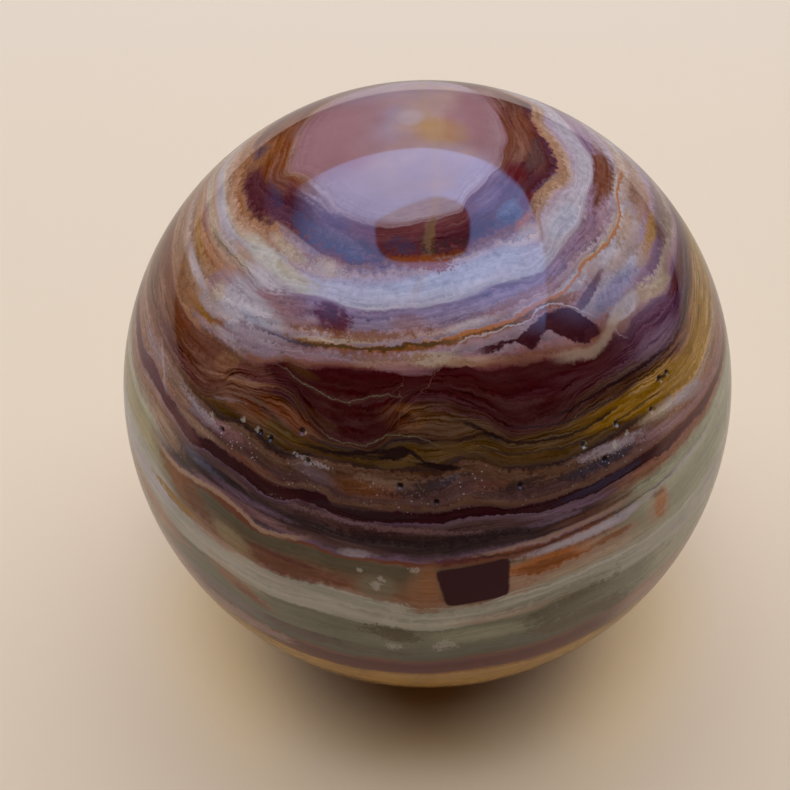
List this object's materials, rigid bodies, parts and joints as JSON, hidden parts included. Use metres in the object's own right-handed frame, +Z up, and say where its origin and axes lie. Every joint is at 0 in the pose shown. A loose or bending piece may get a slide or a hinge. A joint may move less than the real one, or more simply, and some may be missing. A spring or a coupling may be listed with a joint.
{
  "type": "polished banded onyx sphere",
  "caption": "Polished ball of banded onyx that stands on a small flat ground into its underside.",
  "frame": {"origin": "centre of the small flat that the ball stands on", "axes": "+Z up, at right angles to the stone's bands and to the flat; -Y is the side that the picture shows"},
  "size_m": [0.08, 0.08, 0.0794],
  "materials": {
    "onyx": "polished"
  },
  "bodies": {
    "root": {"onyx_sphere": "onyx"}
  },
  "joints": []
}
